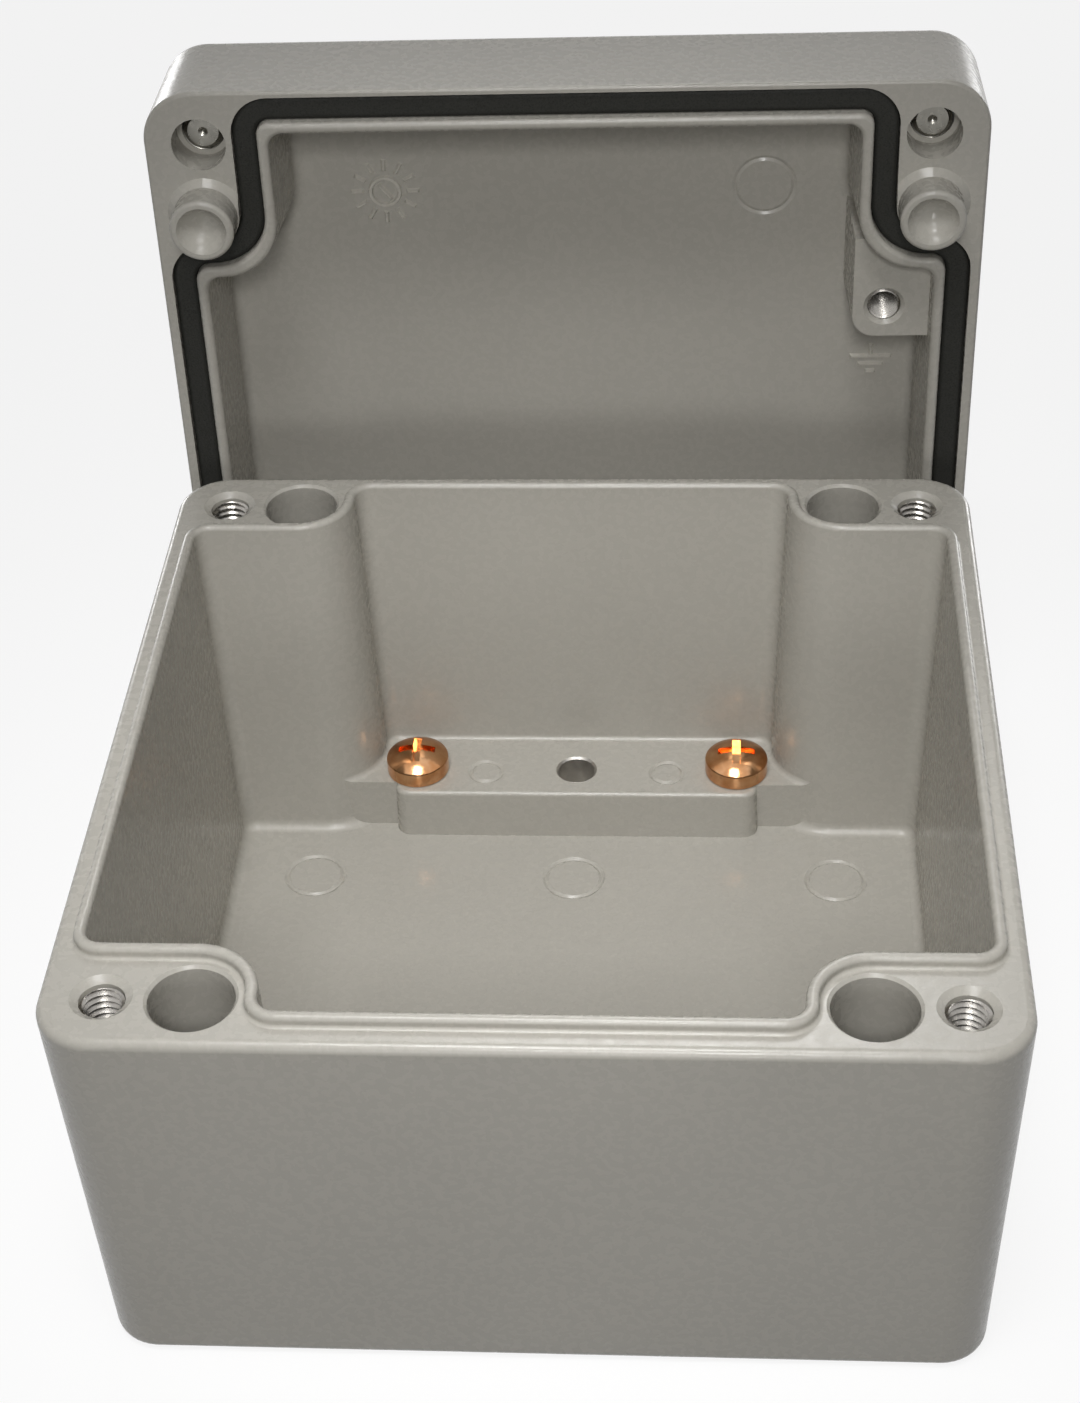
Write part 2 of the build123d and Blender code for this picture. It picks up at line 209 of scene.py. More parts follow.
class ThreadSettings(bpy.types.PropertyGroup):
    """The threads that show in the tapped holes and on the lid screws."""

    pitch: bpy.props.FloatProperty(
        name="Pitch", description="Distance from one thread crest to the next",
        unit="LENGTH", min=0.0002, max=0.003, default=0.001)
    hole_crest: bpy.props.FloatProperty(
        name="Hole crest radius", description="Radius to the crests of the base's tapped holes",
        unit="LENGTH", min=0.001, max=0.01, default=0.0024)
    hole_length: bpy.props.FloatProperty(
        name="Hole thread length", description="Length of thread that shows in each hole of the base",
        unit="LENGTH", min=0.001, max=0.05, default=0.014)
    screw_crest: bpy.props.FloatProperty(
        name="Screw crest radius", description="Radius to the crests of the lid screws",
        unit="LENGTH", min=0.001, max=0.01, default=0.00304)


class MarkSettings(bpy.types.PropertyGroup):
    """The raised marks on the floor of the lid's hollow."""

    rise: bpy.props.FloatProperty(
        name="Rise", description="Height of the marks over the hollow's floor",
        unit="LENGTH", min=0.00005, max=0.001, default=0.00055)
    dial_radius: bpy.props.FloatProperty(
        name="Dial radius", description="Outer radius of the date dial's ticks",
        unit="LENGTH", min=0.001, max=0.02, default=0.0053)
    dial_ticks: bpy.props.IntProperty(
        name="Dial ticks", description="Number of ticks round the date dial",
        min=4, max=60, default=12)
    earth_width: bpy.props.FloatProperty(
        name="Earth sign width", description="Width of the earth sign's widest bar",
        unit="LENGTH", min=0.001, max=0.02, default=0.0066)


class StudioSettings(bpy.types.PropertyGroup):
    """The floor, the lamps and the camera."""

    floor_bounce: bpy.props.FloatVectorProperty(
        name="Floor bounce", description="Colour of the light that the floor throws back on the box",
        subtype="COLOR", size=3, min=0, max=1, default=(0.12, 0.12, 0.12))
    flash_power: bpy.props.FloatProperty(
        name="Flash", description="Power of the small lamp above the camera",
        unit="POWER", min=0, max=100, default=0.058)
    front_power: bpy.props.FloatProperty(
        name="Front lamp", description="Power of the low soft lamp in front",
        unit="POWER", min=0, max=100, default=0.043)
    inside_power: bpy.props.FloatProperty(
        name="Inside lamp", description="Power of the narrow lamp that looks down into the base",
        unit="POWER", min=0, max=100, default=0.098)
    sheen_power: bpy.props.FloatProperty(
        name="Sheen lamp", description="Power of the lamp behind that the rims mirror",
        unit="POWER", min=0, max=100, default=0.024)
    back_power: bpy.props.FloatProperty(
        name="Back lamps", description="Power of each low lamp behind, for the sides hidden from the camera",
        unit="POWER", min=0, max=100, default=1.3)
    ambient: bpy.props.FloatProperty(
        name="Ambient light", description="Strength of the light from all round",
        min=0, max=2, default=0.04)
    lens: bpy.props.FloatProperty(
        name="Lens", description="Focal length of the camera in millimetres",
        min=10, max=300, default=66.763)


def tapped_radius(name):
    """The bore radius that the record gives for a mount, in metres."""
    sizes = MOUNTS[name]["dims"]
    return sizes.get("hole_r_mm", sizes.get("r_mm")) * MILLIMETRE


def add_socket(group, name, kind, incoming, default=None):
    """Adds one named input or output to a shader node group."""
    way = "INPUT" if incoming else "OUTPUT"
    socket = group.interface.new_socket(name=name, in_out=way, socket_type=kind)
    if default is not None:
        socket.default_value = default


def surface_waves():
    """Low waves over a surface: their height, and a slow drift for its tone."""
    group = bpy.data.node_groups.get("surface waves")
    if group:
        return group
    group = bpy.data.node_groups.new("surface waves", "ShaderNodeTree")
    add_socket(group, "Waves per metre", "NodeSocketFloat", True, 900.0)
    add_socket(group, "Patches per metre", "NodeSocketFloat", True, 30.0)
    add_socket(group, "Height", "NodeSocketFloat", False)
    add_socket(group, "Drift", "NodeSocketFloat", False)
    nodes, link = group.nodes, group.links.new
    start, end = nodes.new("NodeGroupInput"), nodes.new("NodeGroupOutput")
    place = nodes.new("ShaderNodeTexCoord")
    waves, patches = nodes.new("ShaderNodeTexNoise"), nodes.new("ShaderNodeTexNoise")
    waves.inputs["Detail"].default_value = 1.5
    waves.inputs["Roughness"].default_value = 0.45
    patches.inputs["Detail"].default_value = 3.0
    link(place.outputs["Object"], waves.inputs["Vector"])
    link(place.outputs["Object"], patches.inputs["Vector"])
    link(start.outputs["Waves per metre"], waves.inputs["Scale"])
    link(start.outputs["Patches per metre"], patches.inputs["Scale"])
    link(waves.outputs["Fac"], end.inputs["Height"])
    link(patches.outputs["Fac"], end.inputs["Drift"])
    return group


def fine_grain():
    """Fine grain of turned, plated or moulded stuff: a height and a mask of small specks."""
    group = bpy.data.node_groups.get("fine grain")
    if group:
        return group
    group = bpy.data.node_groups.new("fine grain", "ShaderNodeTree")
    add_socket(group, "Grains per metre", "NodeSocketFloat", True, 6000.0)
    add_socket(group, "Height", "NodeSocketFloat", False)
    add_socket(group, "Specks", "NodeSocketFloat", False)
    nodes, link = group.nodes, group.links.new
    start, end = nodes.new("NodeGroupInput"), nodes.new("NodeGroupOutput")
    place, grain = nodes.new("ShaderNodeTexCoord"), nodes.new("ShaderNodeTexNoise")
    cells, limits = nodes.new("ShaderNodeTexVoronoi"), nodes.new("ShaderNodeMapRange")
    grain.inputs["Detail"].default_value = 2.0
    limits.inputs["From Min"].default_value = 0.1
    limits.inputs["From Max"].default_value = 0.5
    link(place.outputs["Object"], grain.inputs["Vector"])
    link(place.outputs["Object"], cells.inputs["Vector"])
    link(start.outputs["Grains per metre"], grain.inputs["Scale"])
    link(start.outputs["Grains per metre"], cells.inputs["Scale"])
    link(cells.outputs["Distance"], limits.inputs["Value"])
    link(grain.outputs["Fac"], end.inputs["Height"])
    link(limits.outputs["Result"], end.inputs["Specks"])
    return group


def new_material(name):
    """An empty node material with its Principled shader: (material, nodes, link, shader)."""
    material = bpy.data.materials.new(name)
    material.use_nodes = True
    nodes = material.node_tree.nodes
    return material, nodes, material.node_tree.links.new, nodes["Principled BSDF"]


def place_group(nodes, group, **values):
    """Places a shader node group in a material with its own values."""
    placed = nodes.new("ShaderNodeGroup")
    placed.node_tree = group
    for name, value in values.items():
        placed.inputs[name.replace("_", " ")].default_value = value
    return placed


def spread(nodes, link, source, low, high):
    """Turns a noise texture into values from low to high."""
    limits = nodes.new("ShaderNodeMapRange")
    limits.inputs["From Min"].default_value, limits.inputs["From Max"].default_value = NOISE_REACH
    limits.inputs["To Min"].default_value = low
    limits.inputs["To Max"].default_value = high
    link(source, limits.inputs["Value"])
    return limits.outputs["Result"]


def shades(nodes, link, factor, first, second):
    """Mixes two colours by a texture."""
    mix = nodes.new("ShaderNodeMix")
    mix.data_type = "RGBA"
    mix.inputs[COLOUR_A].default_value = (*first, 1)
    mix.inputs[COLOUR_B].default_value = (*second, 1)
    link(factor, mix.inputs["Factor"])
    return mix.outputs[COLOUR_RESULT]


def bumped(nodes, link, height, depth):
    """A normal from a texture of heights, whose whole range is a depth in metres."""
    bump = nodes.new("ShaderNodeBump")
    bump.inputs["Distance"].default_value = depth
    bump.inputs["Strength"].default_value = 1.0
    link(height, bump.inputs["Height"])
    return bump.outputs["Normal"]


def scaled(colour, share):
    """A colour made lighter or darker by a share."""
    return tuple(min(1.0, channel * share) for channel in colour)


def powder_coat(name, share=1.0):
    """Semi-gloss powder coat with its fine orange peel, lighter or darker by a share; the raised marks take
    a lighter share, which is a painted highlight.
    """
    known = bpy.data.materials.get(name)
    if known:
        return known
    paint = bpy.context.scene.box_paint
    material, nodes, link, shader = new_material(name)
    waves = place_group(nodes, surface_waves(),
                        Waves_per_metre=1 / paint.peel_size, Patches_per_metre=28.0)
    grain = place_group(nodes, fine_grain(), Grains_per_metre=2600.0)
    light = scaled(paint.colour, share * (1 + paint.tone_spread))
    dark = scaled(paint.colour, share * (1 - paint.tone_spread))
    drift = spread(nodes, link, waves.outputs["Drift"], 0.0, 1.0)
    tone = shades(nodes, link, drift, dark, light)
    speck = nodes.new("ShaderNodeMix")
    speck.data_type = "RGBA"
    speck.blend_type = "MULTIPLY"
    speck.inputs["Factor"].default_value = 0.06
    link(tone, speck.inputs[COLOUR_A])
    link(spread(nodes, link, grain.outputs["Height"], *SPECK_TONES), speck.inputs[COLOUR_B])
    link(speck.outputs[COLOUR_RESULT], shader.inputs["Base Color"])
    gloss = (paint.roughness - PAINT_GLOSS_DRIFT, paint.roughness + PAINT_GLOSS_DRIFT)
    link(spread(nodes, link, waves.outputs["Height"], *gloss), shader.inputs["Roughness"])
    link(bumped(nodes, link, waves.outputs["Height"], paint.peel_depth), shader.inputs["Normal"])
    shader.inputs["Specular IOR Level"].default_value = 0.36
    return material


def gasket_rubber():
    """Dull black rubber with a fine closed-cell skin, for the gasket alone."""
    colour = bpy.context.scene.box_metals.rubber
    material, nodes, link, shader = new_material("gasket rubber")
    grain = place_group(nodes, fine_grain(), Grains_per_metre=3500.0)
    dark, light = (scaled(colour, share) for share in RUBBER_TONES)
    link(shades(nodes, link, grain.outputs["Specks"], dark, light), shader.inputs["Base Color"])
    link(spread(nodes, link, grain.outputs["Height"], *RUBBER_ROUGHNESS), shader.inputs["Roughness"])
    link(bumped(nodes, link, grain.outputs["Height"], RUBBER_GRAIN_DEPTH), shader.inputs["Normal"])
    shader.inputs["Specular IOR Level"].default_value = 0.25
    return material


def bright_metal(name, colour, dull, roughness, grain_depth):
    """Bare or plated metal with a drift of tone and a fine grain."""
    known = bpy.data.materials.get(name)
    if known:
        return known
    material, nodes, link, shader = new_material(name)
    waves = place_group(nodes, surface_waves(), Waves_per_metre=1600.0, Patches_per_metre=420.0)
    grain = place_group(nodes, fine_grain(), Grains_per_metre=9000.0)
    drift = spread(nodes, link, waves.outputs["Drift"], 0, 1)
    link(shades(nodes, link, drift, dull, colour), shader.inputs["Base Color"])
    gloss = (roughness * share for share in METAL_GLOSS_DRIFT)
    link(spread(nodes, link, waves.outputs["Height"], *gloss), shader.inputs["Roughness"])
    link(bumped(nodes, link, grain.outputs["Height"], grain_depth), shader.inputs["Normal"])
    shader.inputs["Metallic"].default_value = 1.0
    return material


def copper_plate():
    """Polished copper plate, a little darker where it has aged."""
    colour = bpy.context.scene.box_metals.copper
    return bright_metal("copper plate", colour, AGED_COPPER, roughness=0.15, grain_depth=0.003 * MILLIMETRE)


def screw_steel_and_painted_shade():
    """Satin stainless steel, its colour darkened below the steel's own as painted shade for the screw tips
    deep in the lid's holes.
    """
    colour = bpy.context.scene.box_metals.steel
    return bright_metal("screw steel", colour, scaled(colour, DULL_STEEL),
                        roughness=0.3, grain_depth=0.005 * MILLIMETRE)


def cut_aluminium_and_painted_shade():
    """Freshly cut aluminium in the tapped holes, its colour darkened well below bare aluminium's own as
    painted shade for the dim room that the holes mirror.
    """
    colour = bpy.context.scene.box_metals.cut_metal
    return bright_metal("cut aluminium", colour, scaled(colour, DULL_CUT),
                        roughness=0.24, grain_depth=0.004 * MILLIMETRE)


def drilled_aluminium():
    """Aluminium with the drill's dull marks, in the plain holes; it starts from the tapped holes' darkened
    colour, so it carries the same painted shade.
    """
    colour = bpy.context.scene.box_metals.cut_metal
    return bright_metal("drilled aluminium", scaled(colour, DRILLED_LIFT), colour,
                        roughness=0.45, grain_depth=0.003 * MILLIMETRE)


def clothe(node, material):
    """Gives a CAD node its material."""
    slots = frame["nodes"][node].data.materials
    slots.clear()
    slots.append(material)


def make_piece(name, bm, material, body):
    """Turns a finished mesh into a piece that rides on its body."""
    mesh = bpy.data.meshes.new(name)
    for face in bm.faces:
        face.smooth = True
    for edge in bm.edges:
        edge.smooth = len(edge.link_faces) == 2 and edge.calc_face_angle(math.pi) < SHARP_ANGLE
    bm.to_mesh(mesh)
    bm.free()
    mesh.materials.append(material)
    piece = bpy.data.objects.new(name, mesh)
    bpy.context.scene.collection.objects.link(piece)
    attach(piece, body)
    return piece


def thread_turns(root, crest, pitch, length):
    """A sheet of screw thread round +Z from z = 0 to the length, from root radius to crest radius."""
    bm = bmesh.new()
    turns = math.ceil(length / pitch) + 2
    points = [bm.verts.new((crest if rise else root, 0, (share - 1) * pitch))
              for rise, share in THREAD_TOOTH]
    edges = [bm.edges.new(pair) for pair in zip(points, points[1:])]
    bmesh.ops.spin(bm, geom=points + edges, cent=(0, 0, 0), axis=(0, 0, 1),
                   dvec=(0, 0, pitch / THREAD_STEPS), angle=2 * math.pi * turns,
                   steps=THREAD_STEPS * turns, use_duplicate=False, use_merge=False)
    bmesh.ops.remove_doubles(bm, verts=bm.verts, dist=pitch / 100)
    for height, side in ((0.0, -1), (length, 1)):
        bmesh.ops.bisect_plane(bm, geom=bm.verts[:] + bm.edges[:] + bm.faces[:], dist=pitch / 1000,
                               plane_co=(0, 0, height), plane_no=(0, 0, side), clear_outer=True)
    return bm


def face_axis(bm, towards):
    """Turns every face of a thread or a bore towards its axis, or away from it."""
    bm.normal_update()
    wrong = [face for face in bm.faces
             if (face.normal.dot(face.calc_center_median() * Vector((1, 1, 0))) < 0) != towards]
    bmesh.ops.reverse_faces(bm, faces=wrong)


def along(axis, spot):
    """A matrix that sets +Z on an axis and the origin on a spot."""
    return Matrix.Translation(spot) @ Vector(axis).to_track_quat("Z", "Y").to_matrix().to_4x4()


def thicken(piece, thickness):
    """Gives a sheet its thickness, behind the side that shows."""
    wall = piece.modifiers.new("wall", "SOLIDIFY")
    wall.thickness = thickness
    wall.offset = -1


def tapped_sleeve(name, bore, crest, pitch, length, place):
    """The bright thread that lines a tapped hole, with its foot and axis where the place puts them."""
    bm = thread_turns(bore - THREAD_ROOT_INSET, crest, pitch, length)
    face_axis(bm, True)
    bmesh.ops.transform(bm, matrix=place, verts=bm.verts)
    piece = make_piece(name, bm, cut_aluminium_and_painted_shade(), BOX_BODY)
    thicken(piece, THREAD_WALL)


def bright_bore(name, mount_name):
    """The smooth bright wall of a drilled hole, with its countersunk mouth above the mount's length."""
    mount = MOUNTS[mount_name]
    radius = tapped_radius(mount_name) - SLEEVE_INSET
    wall = mount["dims"]["length_mm"] * MILLIMETRE
    length = wall + MOUTH_FLARE - SLEEVE_INSET
    mouth = Vector(mount["pos_m"]) + Vector(mount["axis"]).normalized() * (wall / 2 + MOUTH_FLARE)
    profile = ((radius, -length), (radius, -MOUTH_FLARE), (radius + MOUTH_FLARE, 0))
    bm = bmesh.new()
    points = [bm.verts.new((across, 0, height)) for across, height in profile]
    edges = [bm.edges.new(pair) for pair in zip(points, points[1:])]
    bmesh.ops.spin(bm, geom=points + edges, cent=(0, 0, 0), axis=(0, 0, 1), dvec=(0, 0, 0),
                   angle=2 * math.pi, steps=ROUND_STEPS, use_duplicate=False, use_merge=True)
    face_axis(bm, True)
    bmesh.ops.transform(bm, matrix=along(mount["axis"], mouth), verts=bm.verts)
    piece = make_piece(name, bm, drilled_aluminium(), BOX_BODY)
    thicken(piece, SLEEVE_THICKNESS)


class CASTBOX_OT_paint(bpy.types.Operator):
    """Powder coat both castings"""

    bl_idname = "cast_box.paint"
    bl_label = "Paint the castings"

    def execute(self, context):
        for node in CASTINGS:
            clothe(node, powder_coat("powder coat"))
        return {"FINISHED"}


class CASTBOX_OT_gasket(bpy.types.Operator):
    """Give the gasket its dull black rubber"""

    bl_idname = "cast_box.gasket"
    bl_label = "Finish the gasket"

    def execute(self, context):
        clothe("lid_gasket", gasket_rubber())
        return {"FINISHED"}


class CASTBOX_OT_earth_screws(bpy.types.Operator):
    """Plate the earth screws with copper"""

    bl_idname = "cast_box.earth_screws"
    bl_label = "Plate the earth screws"

    def execute(self, context):
        for node in EARTH_SCREWS:
            clothe(node, copper_plate())
        return {"FINISHED"}


class CASTBOX_OT_lid_screws(bpy.types.Operator):
    """Finish the lid screws and cut the threads at their tips"""

    bl_idname = "cast_box.lid_screws"
    bl_label = "Finish the lid screws"

    def execute(self, context):
        threads = context.scene.box_threads
        for corner in LID_CORNERS:
            node = "lid_screw_" + corner
            clothe(node, screw_steel_and_painted_shade())
            bm = thread_turns(LID_SCREW_ROOT, threads.screw_crest, threads.pitch, LID_THREAD_LENGTH)
            face_axis(bm, False)
            spot = LID_PLACE.inverted() @ middle(node)
            spot.z = LID_THREAD_START
            bmesh.ops.transform(bm, matrix=LID_PLACE @ Matrix.Translation(spot), verts=bm.verts)
            piece = make_piece("thread_" + corner, bm, screw_steel_and_painted_shade(), "screw_" + corner)
            thicken(piece, SCREW_THREAD_WALL)
        return {"FINISHED"}


class CASTBOX_OT_base_threads(bpy.types.Operator):
    """Line the base's four corner holes with their cut threads"""

    bl_idname = "cast_box.base_threads"
    bl_label = "Tap the corner holes"

    def execute(self, context):
        threads = context.scene.box_threads
        mount = MOUNTS["lid_thread_holes"]
        bore = tapped_radius("lid_thread_holes")
        half_x = mount["dims"]["spacing_x_mm"] * MILLIMETRE / 2
        half_y = mount["dims"]["spacing_y_mm"] * MILLIMETRE / 2
        bottom = mount["pos_m"][2] - threads.hole_length
        for side, end, name in BASE_CORNERS:
            foot = Matrix.Translation((side * half_x, end * half_y, bottom))
            tapped_sleeve("tapped_" + name, bore, threads.hole_crest, threads.pitch,
                          threads.hole_length, foot)
        return {"FINISHED"}


class CASTBOX_OT_earth_hole(bpy.types.Operator):
    """Line the lid's earth hole with its fine thread"""

    bl_idname = "cast_box.earth_hole"
    bl_label = "Tap the earth hole"

    def execute(self, context):
        mount = MOUNTS["lid_earth_hole"]
        bore = tapped_radius("lid_earth_hole") - SLEEVE_INSET
        length = mount["dims"]["length_mm"] * MILLIMETRE - SLEEVE_INSET
        foot = Vector(mount["pos_m"]) - Vector(mount["axis"]).normalized() * length / 2
        tapped_sleeve("tapped_earth_hole", bore, bore - FINE_THREAD_DEPTH, FINE_PITCH, length,
                      along(mount["axis"], foot))
        return {"FINISHED"}


class CASTBOX_OT_ledge_holes(bpy.types.Operator):
    """Line the middle hole of each ledge with bright metal"""

    bl_idname = "cast_box.ledge_holes"
    bl_label = "Bore the ledge holes"

    def execute(self, context):
        for end in ("front", "back"):
            bright_bore("bored_ledge_" + end, end + "_ledge_centre")
        return {"FINISHED"}


def raised_bar(bm, length, width, rise, place):
    """A low bar with sloping sides on the hollow's floor."""
    made = bmesh.ops.create_grid(bm, x_segments=1, y_segments=1, size=0.5)
    bmesh.ops.scale(bm, vec=(length, width, 1), verts=made["verts"])
    foot = list({face for vert in made["verts"] for face in vert.link_faces})
    grown = bmesh.ops.extrude_face_region(bm, geom=foot)
    top = [item for item in grown["geom"] if isinstance(item, bmesh.types.BMVert)]
    bmesh.ops.translate(bm, vec=(0, 0, rise), verts=top)
    bmesh.ops.scale(bm, vec=((length - rise) / length, (width - rise) / width, 1), verts=top)
    bmesh.ops.transform(bm, matrix=place, verts=made["verts"] + top)


def raised_ring(bm, radius, width, rise):
    """A low ring with sloping sides, open underneath, where it lies on the hollow's floor."""
    section = ((radius - width / 2, 0), (radius - width / 4, rise),
               (radius + width / 4, rise), (radius + width / 2, 0))
    points = [bm.verts.new((x, 0, z)) for x, z in section]
    edges = [bm.edges.new(pair) for pair in zip(points, points[1:])]
    bmesh.ops.spin(bm, geom=points + edges, cent=(0, 0, 0), axis=(0, 0, 1), dvec=(0, 0, 0),
                   angle=2 * math.pi, steps=ROUND_STEPS, use_duplicate=False, use_merge=True)


def set_on_lid_floor(bm, up, across):
    """Moves a mark from its own plane to the floor of the lid's hollow, facing into it."""
    spot = Matrix.Translation((up, across, LID_THICKNESS - LID_PLATE))
    bmesh.ops.transform(bm, matrix=LID_PLACE @ spot @ Matrix.Rotation(math.pi, 4, "X"), verts=bm.verts)
    bmesh.ops.recalc_face_normals(bm, faces=bm.faces)


def date_dial(marks):
    """The plain date dial: ticks round a small ring, with one slanting bar in it."""
    bm = bmesh.new()
    tick_length = marks.dial_radius * DIAL_TICK
    reach = marks.dial_radius - tick_length / 2
    for tick in range(marks.dial_ticks):
        turn = Matrix.Rotation(2 * math.pi * tick / marks.dial_ticks, 4, "Z")
        raised_bar(bm, tick_length, MARK_STROKE, marks.rise, turn @ Matrix.Translation((reach, 0, 0)))
    raised_ring(bm, marks.dial_radius * DIAL_RING, MARK_STROKE, marks.rise)
    slant = Matrix.Rotation(DIAL_BAR_TURN, 4, "Z")
    raised_bar(bm, marks.dial_radius * DIAL_BAR, MARK_STROKE, marks.rise, slant)
    return bm


def earth_sign(marks):
    """The generic earth sign: a stem over three bars, each shorter than the one above it."""
    bm = bmesh.new()
    for step, share in enumerate(EARTH_BARS):
        place = Matrix.Translation((-EARTH_BAR_STEP * step, 0, 0)) @ Matrix.Rotation(math.pi / 2, 4, "Z")
        raised_bar(bm, marks.earth_width * share, MARK_STROKE, marks.rise, place)
    stem = Matrix.Translation((EARTH_STEM * EARTH_STEM_REACH, 0, 0))
    raised_bar(bm, EARTH_STEM, MARK_STROKE, marks.rise, stem)
    return bm


class CASTBOX_OT_lid_marks(bpy.types.Operator):
    """Raise the date dial and the earth sign on the floor of the lid's hollow"""

    bl_idname = "cast_box.lid_marks"
    bl_label = "Cast the lid marks"

    def execute(self, context):
        marks = context.scene.box_marks
        for name, shape, spot in (("date_dial", date_dial, DIAL_SPOT),
                                  ("earth_sign", earth_sign, EARTH_SIGN_SPOT)):
            bm = shape(marks)
            set_on_lid_floor(bm, *spot)
            # The marks' coat is painted lighter than the castings' coat, as a painted highlight for the
            # light they catch
            make_piece(name, bm, powder_coat("mark coat", MARK_PAINTED_HIGHLIGHT), BOX_BODY)
        return {"FINISHED"}


def seen_directly(nodes, link):
    """1 where the camera, a reflection or a clear surface looks at this, and 0 for plain light."""
    path = nodes.new("ShaderNodeLightPath")
    first, second = nodes.new("ShaderNodeMath"), nodes.new("ShaderNodeMath")
    first.operation = second.operation = "MAXIMUM"
    link(path.outputs["Is Camera Ray"], first.inputs[0])
    link(path.outputs["Is Glossy Ray"], first.inputs[1])
    link(first.outputs[0], second.inputs[0])
    link(path.outputs["Is Transmission Ray"], second.inputs[1])
    return second.outputs[0]


def floor_finish(studio):
    """Pale floor that looks nearly white and keeps a faint shadow."""
    material, nodes, link, shader = new_material("pale floor")
    shader.inputs["Base Color"].default_value = (*studio.floor_bounce, 1)
    shader.inputs["Roughness"].default_value = 0.9
    shader.inputs["Specular IOR Level"].default_value = 0.0
    shadow, glow = nodes.new("ShaderNodeBsdfDiffuse"), nodes.new("ShaderNodeEmission")
    shadow.inputs["Color"].default_value = (0.14, 0.14, 0.14, 1)
    glow.inputs["Strength"].default_value = 0.86
    white, pick = nodes.new("ShaderNodeAddShader"), nodes.new("ShaderNodeMixShader")
    link(shadow.outputs[0], white.inputs[0])
    link(glow.outputs[0], white.inputs[1])
    link(seen_directly(nodes, link), pick.inputs[0])
    link(shader.outputs[0], pick.inputs[1])
    link(white.outputs[0], pick.inputs[2])
    link(pick.outputs[0], nodes["Material Output"].inputs["Surface"])
    return material


def add_lamp(name, power, size, beam, spot, target):
    """A square soft lamp that looks at a target, with its beam's whole angle in degrees."""
    lamp = bpy.data.lights.new(name, "AREA")
    lamp.energy = power
    lamp.size = size
    lamp.spread = math.radians(beam)
    holder = bpy.data.objects.new(name, lamp)
    holder.location = spot
    holder.rotation_euler = (Vector(target) - Vector(spot)).to_track_quat("-Z", "Y").to_euler()
    bpy.context.scene.collection.objects.link(holder)


def lay_floor(studio):
    """A wide floor just under the box."""
    bm = bmesh.new()
    bmesh.ops.create_grid(bm, x_segments=1, y_segments=1, size=FLOOR_REACH)
    mesh = bpy.data.meshes.new("floor")
    bm.to_mesh(mesh)
    bm.free()
    mesh.transform(Matrix.Translation((0, 0, -FLOOR_DROP)))
    mesh.materials.append(floor_finish(studio))
    floor = bpy.data.objects.new("floor", mesh)
    bpy.context.scene.collection.objects.link(floor)


def light_world(studio):
    """A world that is nearly white where it is seen or mirrored, and dim for plain light."""
    world = bpy.data.worlds.new("studio")
    world.use_nodes = True
    nodes, link = world.node_tree.nodes, world.node_tree.links.new
    limits = nodes.new("ShaderNodeMapRange")
    limits.inputs["To Min"].default_value = studio.ambient
    limits.inputs["To Max"].default_value = BACKGROUND_TONE
    link(seen_directly(nodes, link), limits.inputs["Value"])
    nodes["Background"].inputs["Color"].default_value = (1, 1, 1, 1)
    link(limits.outputs["Result"], nodes["Background"].inputs["Strength"])
    bpy.context.scene.world = world


def set_camera(studio):
    """The camera at the photograph's place and angle."""
    camera = bpy.data.cameras.new("camera")
    camera.sensor_width = SENSOR_WIDTH
    camera.lens = studio.lens
    camera.shift_x, camera.shift_y = CAMERA_SHIFT
    camera.clip_start = NEAR_CLIP
    holder = bpy.data.objects.new("camera", camera)
    holder.location = CAMERA_SPOT
    holder.rotation_euler = Matrix((CAMERA_RIGHT, CAMERA_UP, CAMERA_BACK)).transposed().to_euler()
    bpy.context.scene.collection.objects.link(holder)
    bpy.context.scene.camera = holder


class CASTBOX_OT_stage(bpy.types.Operator):
    """Lay the floor, hang the lamps and set the camera"""

    bl_idname = "cast_box.stage"
    bl_label = "Set the studio"

    def execute(self, context):
        studio = context.scene.box_studio
        lay_floor(studio)
        light_world(studio)
        for name, power, size, beam, spot, target in LAMPS:
            add_lamp(name, getattr(studio, power), size, beam, spot, target)
        set_camera(studio)
        context.scene.view_settings.view_transform = "Standard"
        return {"FINISHED"}


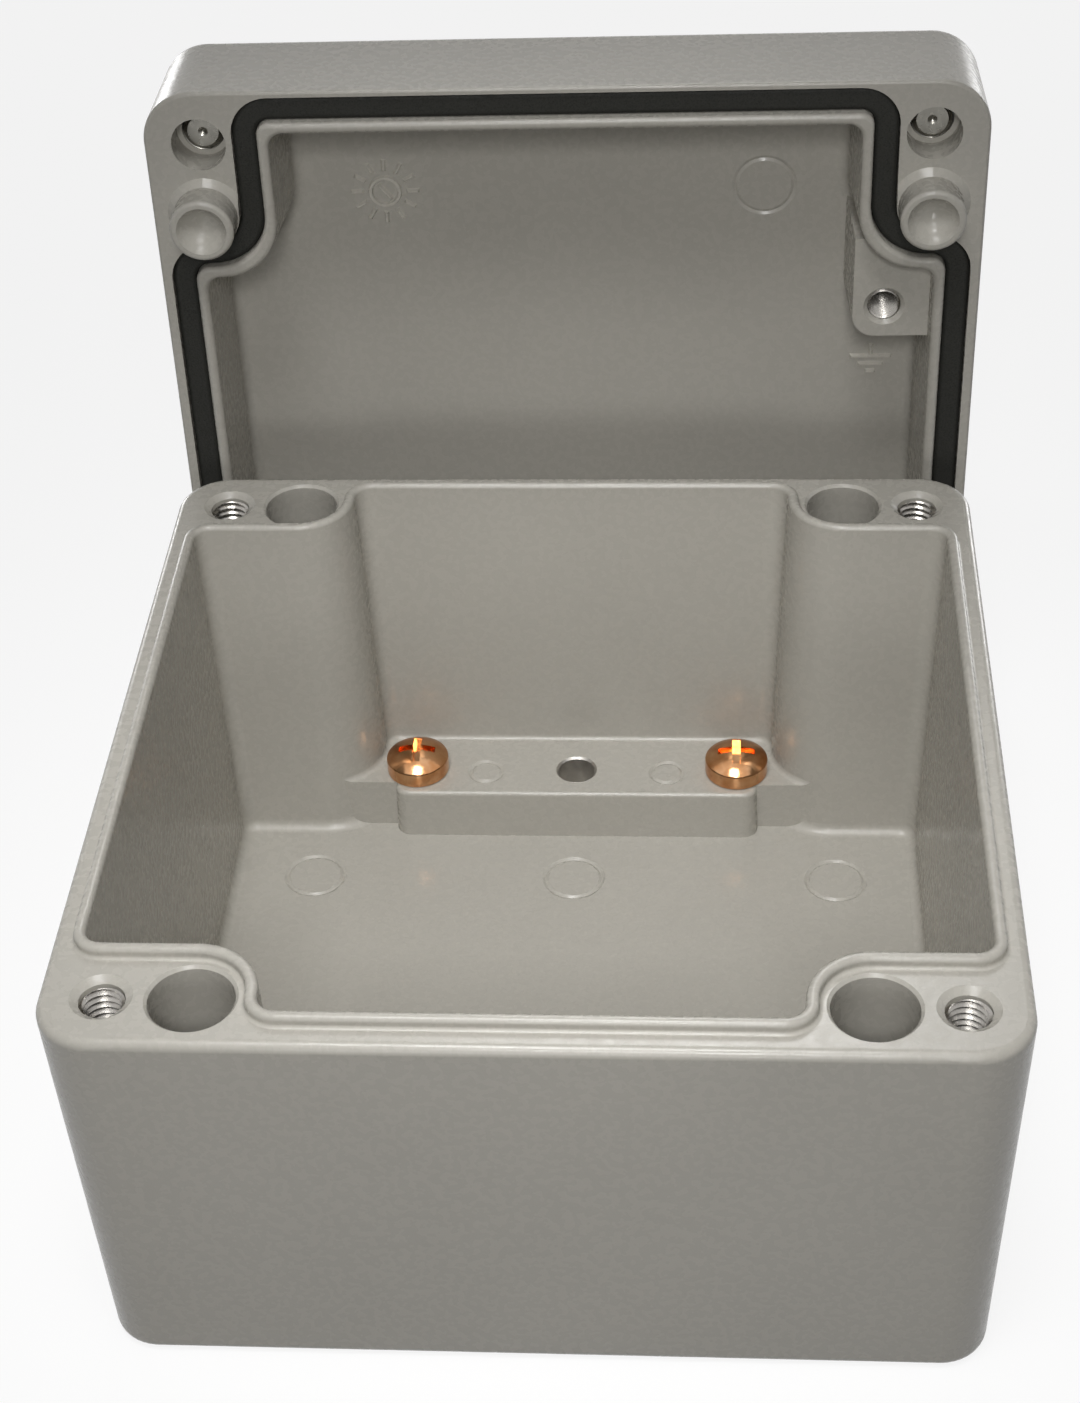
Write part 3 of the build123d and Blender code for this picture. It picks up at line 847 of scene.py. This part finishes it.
class CASTBOX_PT_panel(bpy.types.Panel):
    """Lists the box's pieces and their settings"""

    bl_label = "Cast Box"
    bl_idname = "CASTBOX_PT_panel"
    bl_space_type = "VIEW_3D"
    bl_region_type = "UI"
    bl_category = "Cast Box"

    def draw(self, context):
        scene = context.scene
        for title, settings, operators in PANEL_PARTS:
            box = self.layout.box()
            box.label(text=title)
            group = getattr(scene, settings)
            for name in group.__annotations__:
                box.prop(group, name)
            for operator in operators:
                box.operator(operator.bl_idname)


PANEL_PARTS = (
    ("Castings", "box_paint", (CASTBOX_OT_paint,)),
    ("Metals and rubber", "box_metals", (CASTBOX_OT_gasket, CASTBOX_OT_earth_screws)),
    ("Threads", "box_threads", (CASTBOX_OT_lid_screws, CASTBOX_OT_base_threads, CASTBOX_OT_earth_hole,
                                CASTBOX_OT_ledge_holes)),
    ("Lid marks", "box_marks", (CASTBOX_OT_lid_marks,)),
    ("Studio", "box_studio", (CASTBOX_OT_stage,)),
)
SETTINGS = {
    "box_paint": PaintSettings,
    "box_metals": MetalSettings,
    "box_threads": ThreadSettings,
    "box_marks": MarkSettings,
    "box_studio": StudioSettings,
}
OPERATORS = tuple(operator for part in PANEL_PARTS for operator in part[2])


def register():
    for name, settings in SETTINGS.items():
        bpy.utils.register_class(settings)
        setattr(bpy.types.Scene, name, bpy.props.PointerProperty(type=settings))
    for operator in OPERATORS:
        bpy.utils.register_class(operator)
    bpy.utils.register_class(CASTBOX_PT_panel)


def unregister():
    bpy.utils.unregister_class(CASTBOX_PT_panel)
    for operator in reversed(OPERATORS):
        bpy.utils.unregister_class(operator)
    for name, settings in SETTINGS.items():
        delattr(bpy.types.Scene, name)
        bpy.utils.unregister_class(settings)


def main():
    register()
    bpy.ops.cast_box.paint()
    bpy.ops.cast_box.gasket()
    bpy.ops.cast_box.earth_screws()
    bpy.ops.cast_box.lid_screws()
    bpy.ops.cast_box.base_threads()
    bpy.ops.cast_box.earth_hole()
    bpy.ops.cast_box.ledge_holes()
    bpy.ops.cast_box.lid_marks()
    bpy.ops.cast_box.stage()


if __name__ == "__main__":
    main()
